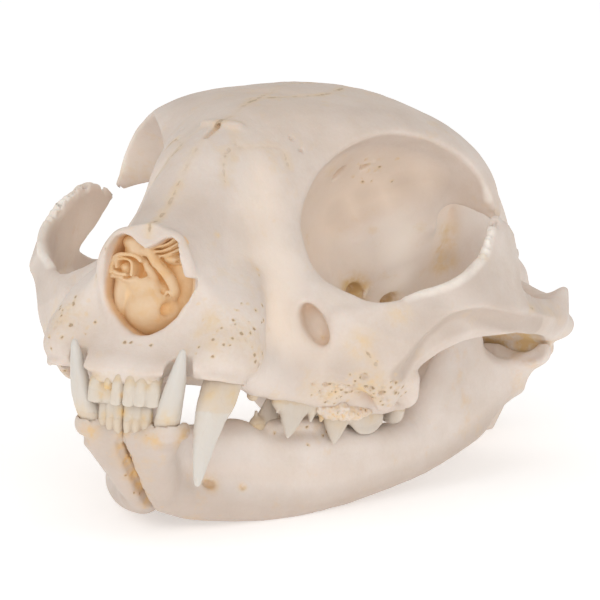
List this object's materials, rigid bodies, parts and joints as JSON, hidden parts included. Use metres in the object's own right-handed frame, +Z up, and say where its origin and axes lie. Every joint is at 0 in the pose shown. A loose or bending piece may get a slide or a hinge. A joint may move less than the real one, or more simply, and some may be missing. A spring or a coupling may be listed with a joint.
{
  "type": "cat skull",
  "caption": "Life-size skull of a domestic cat with its lower jaw, cleaned bone for display, resting on the jaw and the base of the skull.",
  "frame": {"origin": "middle of the footprint, on the floor", "axes": "+Z up, nose towards -Y, +X the cat's left; the skull is nearly mirrored across X = 0"},
  "size_m": [0.0666, 0.0938, 0.0492],
  "materials": {
    "skull_bone": "dry, cleaned bone, matt with a faint sheen",
    "jaw_bone": "dry, cleaned bone, matt with a faint sheen",
    "tooth_enamel": "smooth tooth enamel, slightly glossy"
  },
  "bodies": {
    "root": {"cranium": "skull_bone", "mandible_left": "jaw_bone", "mandible_right": "jaw_bone", "upper_canine_left": "tooth_enamel", "lower_canine_left": "tooth_enamel", "lower_canine_right": "tooth_enamel"}
  },
  "joints": []
}
